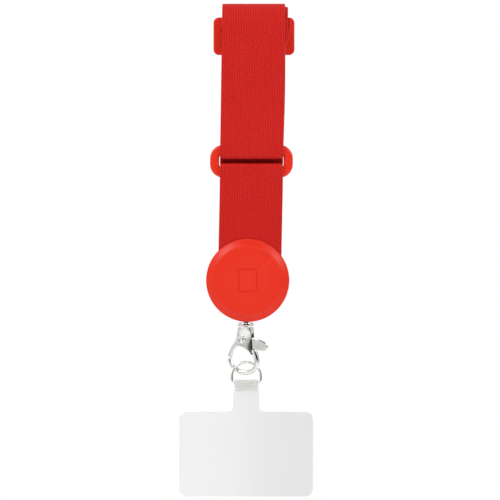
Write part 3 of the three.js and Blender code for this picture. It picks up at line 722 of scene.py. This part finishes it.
def travelling_webbing():
    """Webbing that pays out above the slider, and that shortens below it, as the slider travels."""
    rows = 60
    above = SPLIT_Z + GAP
    for name, y in (("sewn_run_travel", SEWN_REAR), ("running_travel", RUN_REAR)):
        points = [Vector((y, above - GAP * k / rows)) for k in range(rows + 1)]
        piece = band(name, points, WEB_W, WEB_T, lambda i, y, z: SLIDER["x"])
        settle(piece, WEBBING_FIXED)
        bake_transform(piece)
    length = THREADED_END_Z - NECK_START_Z
    rows = 96
    points = [Vector((RUN_REAR, THREADED_END_Z - length * k / rows)) for k in range(rows + 1)]

    def drift(i, y, z):
        top = ease(z, THREADED_END_Z - 60, THREADED_END_Z)
        return SLIDER["x"] * top + sway(z) * (1 - top)

    piece = band("rear_webbing", points, WEB_W, WEB_T, drift)
    settle(piece, WEBBING_FIXED, "strap", ["rear_length"])
    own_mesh(piece)


def stitches(name, lines, y, side, body):
    """Rows of stitches: short arched threads lying on a face of the webbing at y."""
    length, gap, r = 2.2, 0.7, 0.16
    joined = []
    faces = []
    for start, end in lines:
        a, b = Vector(start), Vector(end)
        count = max(1, round((b - a).length / (length + gap)))
        for k in range(count):
            p = a.lerp(b, (k + 0.12) / count)
            q = a.lerp(b, (k + 0.88) / count)
            first = len(joined)
            steps, sides = 6, 6
            along = (q - p).normalized()
            across = Vector((-along.y, along.x))
            for i in range(steps + 1):
                t = i / steps
                spot = p.lerp(q, t)
                rise = r * 1.1 * math.sin(math.pi * t) - r * 0.5
                for m in range(sides):
                    angle = 2 * math.pi * m / sides
                    flat = spot + across * r * 1.2 * math.cos(angle)
                    joined.append((flat.x, y + side * (rise + r * math.sin(angle)), flat.y))
            for i in range(steps):
                for m in range(sides):
                    n = (m + 1) % sides
                    ring = (i * sides + m, (i + 1) * sides + m, (i + 1) * sides + n, i * sides + n)
                    faces.append(tuple(first + v for v in ring))
            faces.append(tuple(first + m for m in range(sides)))
            faces.append(tuple(first + steps * sides + m for m in reversed(range(sides))))
    piece = mesh_piece(name, joined, faces)
    shade(piece, 60)
    return settle(piece, THREAD, body)


def sewn_end_stitches():
    face = SEWN_REAR - WEB_T - SEWN_GAP - WEB_T / 2
    left, right = SLIDER["x"] - 13, SLIDER["x"] + 13
    rows = [((left, z), (right, z)) for z in (-4.4, -6.2, -8.0)]
    stitches("sewn_end_stitches", rows, face, -1, "slider")


# ---- Buckles ----
SLOT_CLEARANCE = 0.6  # how much wider a slot is than the webbing
SLOT_SHIFT = -0.05
SLOT_R = 0.6


def bar_frame(name, size, slots, round_over):
    """A flat frame; its slots are a running clearance wider than the webbing."""
    loops = [rounded_rectangle(size["w"], size["h"], size["r"], size["x"], size["z"])]
    width = WEB_W + SLOT_CLEARANCE
    x = size["x"] + SLOT_SHIFT
    for z0, z1 in slots:
        loops.append(rounded_rectangle(width, z1 - z0, SLOT_R, x, (z0 + z1) / 2, 4))
    return shade(plate(name, loops, size["t"], size["y"], round_over, 6), 50)


def buckles():
    half = SLIDER["bar"] / 2
    edge = SLIDER["h"] / 2 - SLIDER["bar"]
    slots = [(SLIDER["z"] + half, SLIDER["z"] + edge), (SLIDER["z"] - edge, SLIDER["z"] - half)]
    slider = bar_frame("slider_buckle", SLIDER, slots, 0.7)
    settle(slider, PLASTIC, "slider", ["slider_frame"])
    slots = [(LOOP["z"] - LOOP["slot_h"] / 2, LOOP["z"] + LOOP["slot_h"] / 2)]
    loop = bar_frame("strap_loop_buckle", LOOP, slots, 1.35)
    settle(loop, PLASTIC, "strap", ["strap_loop"])


# ---- Housing ----
SIDE_SCREW_DX, SIDE_SCREW_Z = 13, -131.6
SCREWS = [
    ("cover_screw_left", DISC["x"] - SIDE_SCREW_DX, SIDE_SCREW_Z),
    ("cover_screw_right", DISC["x"] + SIDE_SCREW_DX, SIDE_SCREW_Z),
    ("cover_screw_lower", SWIVEL_X, EYE_Z),
]
SCREW_HEAD, SCREW_HEAD_H, BOSS = 1.7, 0.9, 2.3
STRAP_SLOT = {"half_w": 15.9, "y0": -12.1, "y1": -7}
MOUTH_HALF_W, MOUTH_HALF_Y = 3.2, 1.9
EMBLEM = {"w": 9, "h": 11, "r": 2, "line": 0.4, "depth": 0.25}


def housing_half(name, depth, bevel_w, bevel_d, front):
    """One half of the housing, open side at height 0, turned to face its way."""
    r, wall, rim = DISC["r"], DISC["wall"], 0.15
    slope = math.degrees(math.atan2(bevel_d, bevel_w - 0.5))
    side_r = 0.9
    edge_z = depth - bevel_d - 0.35
    profile = [(0, depth), (r - bevel_w - 0.5, depth), (r - bevel_w - 0.1, depth - 0.06)]
    profile += [(r - bevel_w + 0.3, depth - 0.24), (r - side_r, edge_z + side_r * 0.62)]
    profile += arc(r - side_r, edge_z - side_r * 0.35, side_r, 90 - slope, 0, 6)
    profile += [(r, rim + 0.12), (r - 0.12, rim), (r - wall, rim)]
    profile += [(r - wall, depth - bevel_d - 1.1), (r - bevel_w - 0.6, depth - wall), (0, depth - wall)]
    shell = lathe(name, profile, 144)
    turn = ALONG_MINUS_Y if front else ALONG_PLUS_Y
    return place(shell, Matrix.Translation((DISC["x"], DISC["y"], DISC["z"])) @ turn)


def openings():
    """The strap slot in the housing's top and the swivel's mouth in its bottom."""
    x, y, z, r = DISC["x"] + 1, DISC["y"], DISC["z"], DISC["r"]
    half, x0, x1 = STRAP_SLOT["half_w"], SWIVEL_X - MOUTH_HALF_W, SWIVEL_X + MOUTH_HALF_W
    return [
        block(x - half, x + half, STRAP_SLOT["y0"], STRAP_SLOT["y1"], z + 2, z + r + 1),
        block(x0, x1, y - MOUTH_HALF_Y, y + MOUTH_HALF_Y, z - r - 1, EYE_Z - 3),
    ]


def covers():
    front = housing_half("housing_front", DISC["front"], 3.5, 1.7, True)
    face = DISC["y"] - DISC["front"]
    w, h, r, line = EMBLEM["w"], EMBLEM["h"], EMBLEM["r"], EMBLEM["line"]
    emblem = [
        rounded_rectangle(w, h, r, DISC["x"], DISC["z"]),
        rounded_rectangle(w - 2 * line, h - 2 * line, r - line, DISC["x"], DISC["z"]),
    ]
    groove = plate("groove", emblem, 2 * EMBLEM["depth"], face, 0.0)
    combine(front, "DIFFERENCE", [*openings(), groove])
    shade(front, 28)
    settle(front, PLASTIC, "strap", ["front_cover"])
    rear = housing_half("housing_rear", DISC["rear"], 2, 1.2, False)
    face = DISC["y"] + DISC["rear"]
    inside = face - DISC["wall"]
    bosses = [rod_y(x, z, BOSS, DISC["y"] + MOUTH_HALF_Y, inside + 0.2) for _, x, z in SCREWS]
    combine(rear, "UNION", bosses)
    wells = [rod_y(x, z, SCREW_HEAD + GAP, face - SCREW_HEAD_H - GAP, face + 1) for _, x, z in SCREWS]
    combine(rear, "DIFFERENCE", openings() + wells)
    shade(rear, 28)
    settle(rear, PLASTIC, "strap", ["rear_cover"])


def screws():
    top = DISC["y"] + DISC["rear"] - 0.15
    tip = DISC["y"] - DISC["front"] + DISC["wall"] + 0.8
    low = top - SCREW_HEAD_H + 0.1
    reach, cut, depth = 1.1, 0.22, 0.5
    profile = [(0, tip), (0.5, tip), (0.8, tip + 0.4), (0.8, low), (1.5, low)]
    profile += [(SCREW_HEAD, low + 0.2), (SCREW_HEAD, top - 0.3), (1.5, top - 0.1), (1.1, top), (0, top)]
    for name, x, z in SCREWS:
        body = lathe(name.replace("cover", "housing"), profile, 48)
        place(body, Matrix.Translation((x, 0, z)) @ ALONG_PLUS_Y)
        slots = [
            block(x - reach, x + reach, top - depth, top + 1, z - cut, z + cut),
            block(x - cut, x + cut, top - depth, top + 1, z - reach, z + reach),
        ]
        shade(combine(body, "DIFFERENCE", slots), 40)
        settle(body, STEEL, "strap", [name])


# ---- Swivel and clasp ----
COLLAR = {"bottom": -147.1, "top": -145.5, "r": 3.9}
EYE_R, EYE_TUBE = 3.1, 0.9
STUB_R, STUB_HEAD_R = 1.2, 1.8
SHANK_R = 1.5


def swivel_eye():
    bottom, top, r = COLLAR["bottom"], COLLAR["top"], COLLAR["r"]
    profile = [(0, bottom), *arc(r - 0.15, bottom + 0.15, 0.15, -80, 0, 4)]
    profile += [*arc(r - 0.45, top - 0.45, 0.45, 0, 80, 4), (1.6, top + 0.05)]
    profile += [(SHANK_R, top + 0.4), (SHANK_R, EYE_Z - EYE_R), (0, EYE_Z - EYE_R)]
    collar = lathe("swivel", profile, 80)
    stub_top = bottom + 0.05
    head_top = CLASP_TOP_Z - 1.5
    stub = [(0, head_top - 1), (STUB_HEAD_R, head_top - 1), (STUB_HEAD_R, head_top)]
    stub += [(STUB_R, head_top), (STUB_R, stub_top), (0, stub_top)]
    neck = lathe("stub", stub, 40)
    ring = []
    for k in range(64):
        a = 2 * math.pi * k / 64
        ring.append((EYE_R * math.cos(a), 0, EYE_Z + EYE_R * math.sin(a)))
    eye = tube("eye", ring, 20, lambda t: (EYE_TUBE, EYE_TUBE), True)
    for part in (collar, neck, eye):
        place(part, Matrix.Translation((SWIVEL_X, DISC["y"], 0)))
    combine(collar, "UNION", [neck, eye])
    shade(collar, 40)
    return settle(collar, NICKEL, "swivel", ["swivel_eye"])


CLASP_PLACE = Matrix.Translation((SWIVEL_X, DISC["y"], CLASP_TOP_Z)) @ Matrix.Rotation(CLASP_TURN, 4, "Z")
HOOK = [
    (4.4, -11.4), (5.2, -13.6), (5.75, -16.4), (4.9, -19.3), (2.6, -21.2),
    (-0.4, -21.8), (-3.6, -21.1), (-6.4, -18.9), (-7.8, -16.2), (-7.9, -14.8),
]


def smooth_line(points, steps):
    """Catmull-Rom points through the given ones."""
    ends = [points[0], *points, points[-1]]
    line = []
    for a, b, c, d in zip(ends, ends[1:], ends[2:], ends[3:]):
        for k in range(steps):
            t = k / steps
            line.append(tuple(
                0.5 * (2 * q + (r - p) * t + (2 * p - 5 * q + 4 * r - s) * t * t
                       + (3 * q - p - 3 * r + s) * t ** 3)
                for p, q, r, s in zip(a, b, c, d)
            ))
    return [*line, points[-1]]


def between(stops, w):
    """Linear value at w between (w, value) stops, w falling."""
    for (w0, v0), (w1, v1) in zip(stops, stops[1:]):
        if w >= w1:
            return v0 + (v1 - v0) * (w - w0) / (w1 - w0)
    return stops[-1][1]


HEAD_LEFT = [(0, -3.85), (-2, -4.1), (-4, -4.8), (-6.6, -6.0), (-8.6, -6.6), (-13.4, -7.2)]
HEAD_RIGHT = [(0, 3.85), (-2, 4.15), (-5, 4.7), (-9, 5.45), (-13.4, 6.25)]
HEAD_DEEP = [(0, 3.65), (-2, 3.3), (-4, 2.75), (-6.5, 2.45), (-13.4, 2.2)]
HEAD_H = 13.4


def clasp_head():
    """The head: oval sections from the round crown down to the flatter cheeks."""
    left, right, deep = (smooth_line(stops, 6) for stops in (HEAD_LEFT, HEAD_RIGHT, HEAD_DEEP))
    sides, levels = 48, 54
    points = []
    for i in range(levels + 1):
        w = -HEAD_H * i / levels
        a, b, d = between(left, w), between(right, w), between(deep, w)
        for k in range(sides):
            angle = 2 * math.pi * k / sides
            points.append(((a + b) / 2 + (b - a) / 2 * math.cos(angle), d * math.sin(angle), w))
    return mesh_piece("clasp_body_cast", points, loft_faces(levels + 1, sides))


def clasp_body():
    head = clasp_head()
    channel = 1.5  # half the thickness of the gate's channel
    opening = [(-12, -6.9), (-6.4, -7.3), *bend((-6.4, -7.3), (-5.6, -8.7), (-4.2, -8.9))]
    opening += [*bend((-4.2, -8.9), (0.6, -9.4), (3.0, -12.6), 12), (3.6, -14.5), (-12, -14.5)]
    hook_line = [(u, 0, w) for u, w in smooth_line(HOOK, 8)]
    hook = tube("hook", hook_line, 20, lambda t: (1.42 - 0.34 * t, 1.1 + 0.9 * (1 - t) ** 6))
    circle = rod_y(RIVET["u"], RIVET["w"], GATE_REACH, -3, 3, 120)
    combine(circle, "INTERSECT", [block(-12, -4, -3, 3, -20, -10)])
    combine(hook, "DIFFERENCE", [circle])
    combine(head, "DIFFERENCE", [plate("opening", [opening], 12, 0, 0.0)])
    combine(head, "UNION", [hook])
    combine(head, "DIFFERENCE", [
        block(-9, 9, -channel, channel, -11.3, -3.9),
        block(2.9, 9, -channel, channel, -4, -2.6),
        block(0.6, 3, -channel, channel, -4, -3.3),
        lathe("bore", [(0, -2), (1.5, -2), (1.5, 1), (0, 1)], 32),
        lathe("cavity", [(0, -2.9), (2.2, -2.9), (2.2, -1.2), (0, -1.2)], 32),
    ])
    cast(head, 0.1, 6)
    place(head, CLASP_PLACE)
    shade(head, 60)
    return settle(head, NICKEL, "clasp", ["clasp_body"])


def clasp_gate():
    outline = arc(RIVET["u"], RIVET["w"], 1.8, 75, 162, 8)
    for middle, end in (((-5.2, -7), (-6.4, -8.6)), ((-8.3, -11), (-8.7, -14))):
        outline += bend(outline[-1], middle, end)
    outline.append((-7.2, -15))
    for middle, end in (((-6.5, -11.2), (-4.2, -9.4)), ((-1.4, -8.9), (1.6, -9.4))):
        outline += bend(outline[-1], middle, end)
    outline += [(5.6, -10.9), (8.4, -11.5), *arc(9.3, -9.4, 2.2, -108, 75, 16)]
    outline += bend(outline[-1], (7.6, -6), (5, -5.4))
    gate = plate("clasp_gate_lever", [outline], 1.9, -0.35, 0.45, 5)
    combine(gate, "DIFFERENCE", [rod_y(RIVET["u"], RIVET["w"], 0.95, -3, 3, 28)])
    place(gate, CLASP_PLACE)
    shade(gate, 40)
    return settle(gate, NICKEL, "gate", ["clasp_gate"])


def gate_rivet():
    reach, head_t = 2.5, 0.5
    end = reach + head_t
    half = [(0.8, 0), (0.8, reach), (1.85, reach), (2.0, reach + 0.15)]
    half += [*arc(1.75, end - 0.25, 0.25, 10, 80, 4), (1.45, end), (1.3, end - 0.06)]
    half += [(1.2, end - 0.25), (0.55, end - 0.25), (0.35, end - 0.12), (0, end - 0.08)]
    profile = [(r, -h) for r, h in reversed(half[1:])] + half[1:]
    rivet = lathe("gate_pivot_rivet", profile, 56)
    place(rivet, CLASP_PLACE @ Matrix.Translation((RIVET["u"], 0, RIVET["w"])) @ ALONG_PLUS_Y)
    shade(rivet, 40)
    return settle(rivet, NICKEL, "clasp", ["gate_rivet"])


def gate_spring():
    r, wire, turns, pitch, y = 1.3, 0.13, 1.5, 0.3, 1.05
    steps = 72
    coil = []
    for k in range(steps + 1):
        t = k / steps
        a = 2 * math.pi * turns * t
        u, w = RIVET["u"] + r * math.cos(a), RIVET["w"] + r * math.sin(a)
        coil.append((u, y + pitch * turns * (t - 0.5), w))
    spring = tube("gate_coil_spring", coil, 10, lambda t: (wire, wire))
    place(spring, CLASP_PLACE)
    shade(spring, 50)
    return settle(spring, STEEL, "clasp", ["gate_spring"])


# ---- Ring, ribbon and patch ----
RING_PLACE = Matrix.Translation((RING["x"], DISC["y"], 0)) @ Matrix.Rotation(RING_TURN, 4, "Z")
TETHER_PLACE = Matrix.Translation((RING["x"], DISC["y"], 0))


def d_ring():
    half = RING["w"] / 2 - RING["wire"]
    bar = RING["top"] - RING["h"] + RING["wire"]
    c = RING["corner"]
    shoulder = RING["top"] - RING["wire"] - half
    line = [(RING["seam"] / 2, bar), (RING["seam"] / 2 + 0.1, bar), (half - c - 0.5, bar), (half - c, bar)]
    line += bend((half - c, bar), (half, bar), (half, bar + c), 12)
    line += arc(0, shoulder, half, 0, 180, 56)
    line += [(-half, bar + c)]
    line += bend((-half, bar + c), (-half, bar), (c - half, bar), 12)
    line += [(c - half + 0.5, bar), (-RING["seam"] / 2 - 0.1, bar), (-RING["seam"] / 2, bar)]
    wire = RING["wire"]
    ring = tube("d_ring_wire", [(x, 0, z) for x, z in line], 24, lambda t: (wire, wire))
    place(ring, RING_PLACE)
    shade(ring, 45)
    return settle(ring, NICKEL, "ring", ["d_ring"])


def ribbon_loop():
    bar = RING["top"] - RING["h"] + RING["wire"]
    off = RING["wire"] + RIBBON["slack"] + RIBBON["t"] / 2
    top = bar + RING["wire"] + GAP + RIBBON["t"] / 2
    low, flat = RIBBON["bottom"], RIBBON["flat"]
    points = route([
        (-flat, low), (-flat, low + 2, 2), (-off, bar - 1, 1),
        (-off, top, off * 0.8), (off, top, off * 0.8),
        (off, bar - 1, 1), (flat, low + 2, 2), (flat, low),
    ], 0.25)
    ribbon = band("tether_ribbon", points, RIBBON["w"], RIBBON["t"], lambda i, y, z: 0.0, 30)
    place(ribbon, TETHER_PLACE)
    return settle(ribbon, RIBBON_BAND, "tether", ["ribbon_loop"])


def patch_outline():
    n, low, tab = PATCH["neck_w"] / 2, RIBBON["bottom"], PATCH["tab_half"]
    top, fillet, r = PATCH["top"], PATCH["fillet"], PATCH["r"]
    half, bottom = PATCH["w"] / 2, PATCH["top"] - PATCH["h"]
    outline = [(-tab, PATCH["neck_top"]), (-tab, low + 0.8)]
    outline += [*bend((-tab, low + 0.8), (-n, low + 0.4), (-n, low - 1.2)), (-n, top + fillet)]
    outline += bend((-n, top + fillet), (-n, top), (-n - fillet, top))
    outline += arc(r - half, top - r, r, 90, 180) + arc(r - half, bottom + r, r, 180, 270)
    outline += arc(half - r, bottom + r, r, 270, 360) + arc(half - r, top - r, r, 0, 90)
    outline += [(n + fillet, top), *bend((n + fillet, top), (n, top), (n, top + fillet))]
    outline += [(n, low - 1.2), *bend((n, low - 1.2), (n, low + 0.4), (tab, low + 0.8))]
    outline += [(tab, PATCH["neck_top"])]
    return outline


def tether_patch():
    patch = plate("clear_tether_patch", [patch_outline()], PATCH["t"], 0, 0.25, 4)
    place(patch, TETHER_PLACE)
    shade(patch, 40)
    return settle(patch, CLEAR, "tether", ["tether_patch"])


# ---- Build ----
adjuster_webbing()
neck_webbing()
lower_webbing()
slider_webbing()
travelling_webbing()
sewn_end_stitches()
buckles()
covers()
screws()
swivel_eye()
clasp_body()
clasp_gate()
gate_rivet()
gate_spring()
d_ring()
ribbon_loop()
tether_patch()
pin = frame["nodes"]["strap_pin"]
pin.data.materials.clear()
pin.data.materials.append(STEEL)


# ---- Camera, floor and light ----
FRAME_W = 237.8 * MM
VIEW_CENTRE = Vector((-0.5, -9.5, -110.9)) * MM
LENS = 500
SENSOR = 36
FLOOR = {"r": 4.0, "z": -0.36, "back": 3.0}  # metres
LAMP_TARGET = Vector((0, -0.005, -0.12))
LAMPS = [  # name, direction towards it, distance and size in metres, watts
    ("key", (-0.52, -0.5, 0.69), 0.9, 0.34, 2.75),
    ("fill", (0.68, -0.5, 0.53), 0.9, 0.34, 2.5),
    ("front", (0.1, -1.0, 0.55), 1.1, 0.5, 2.1),
    ("rear_left", (0.6, 0.6, 0.5), 0.9, 0.4, 1.2),
    ("rear_right", (-0.6, 0.7, 0.3), 0.9, 0.4, 1.2),
]


def camera():
    data = bpy.data.cameras.new("camera")
    data.lens = LENS
    data.sensor_width = SENSOR
    data.clip_start = 0.05
    data.clip_end = 20
    eye = bpy.data.objects.new("camera", data)
    eye.location = VIEW_CENTRE - Vector((0, FRAME_W * LENS / SENSOR, 0))
    eye.rotation_euler = (math.radians(90), 0, 0)
    bpy.context.scene.collection.objects.link(eye)
    bpy.context.scene.camera = eye


def floor():
    """A plain pale floor, below the hanging lanyard and out of the front view's frame."""
    ground = lathe("floor", [(0, 0), (FLOOR["r"] / MM, 0)], 96)
    ground.location = (0, FLOOR["back"] - FLOOR["r"], FLOOR["z"])
    g = Graph("floor_paint", Roughness=0.9, Emission_Strength=0.1)
    speckle = g.noise(g.object_coordinates(), 30.0, 3.0)
    g.colour(g.mix(speckle, (0.86, 0.86, 0.86, 1), (0.90, 0.90, 0.90, 1)))
    ground.data.materials.append(g.material)


def softbox(name, direction, distance, size, power):
    data = bpy.data.lights.new(name, "AREA")
    data.shape = "SQUARE"
    data.size = size
    data.energy = power
    lamp = bpy.data.objects.new(name, data)
    towards = Vector(direction).normalized()
    lamp.location = LAMP_TARGET + towards * distance
    lamp.rotation_euler = towards.to_track_quat("Z", "Y").to_euler()
    bpy.context.scene.collection.objects.link(lamp)


def world():
    """A white surround, with a dark stretch in front that polished metal picks up."""
    surround = bpy.data.worlds.new("surround")
    bpy.context.scene.world = surround
    surround.use_nodes = True
    tree = surround.node_tree
    nodes, links = tree.nodes, tree.links
    background = nodes["Background"]
    split = nodes.new("ShaderNodeSeparateXYZ")
    links.new(nodes.new("ShaderNodeTexCoord").outputs["Generated"], split.inputs[0])

    def spread(value, low, high, out_low, out_high):
        node = nodes.new("ShaderNodeMapRange")
        node.interpolation_type = "SMOOTHSTEP"
        links.new(value, node.inputs["Value"])
        ends = {"From Min": low, "From Max": high, "To Min": out_low, "To Max": out_high}
        for key, number in ends.items():
            node.inputs[key].default_value = number
        return node.outputs["Result"]

    def maths(operation, a, b):
        node = nodes.new("ShaderNodeMath")
        node.operation = operation
        links.new(a, node.inputs[0])
        if isinstance(b, float):
            node.inputs[1].default_value = b
        else:
            links.new(b, node.inputs[1])
        return node.outputs[0]

    angle = maths("ARCTAN2", split.outputs["X"], maths("MULTIPLY", split.outputs["Y"], -1.0))
    base = spread(split.outputs["Y"], -1.0, 1.0, 0.62, 0.72)
    into_dark = spread(angle, -0.62, -0.45, 1.3, 0.04)
    out_of_dark = spread(angle, 0.85, 1.05, 0.04, 1.1)
    lighting = maths("MULTIPLY", base, maths("MAXIMUM", into_dark, out_of_dark))
    seen = nodes.new("ShaderNodeMix")
    links.new(nodes.new("ShaderNodeLightPath").outputs["Is Camera Ray"], seen.inputs[0])
    links.new(lighting, seen.inputs[2])
    seen.inputs[3].default_value = 1.0
    background.inputs["Color"].default_value = (1, 1, 1, 1)
    links.new(seen.outputs[0], background.inputs["Strength"])


camera()
floor()
for lamp in LAMPS:
    softbox(*lamp)
world()
bpy.context.scene.view_settings.view_transform = "Standard"
bpy.context.scene.view_settings.look = "None"
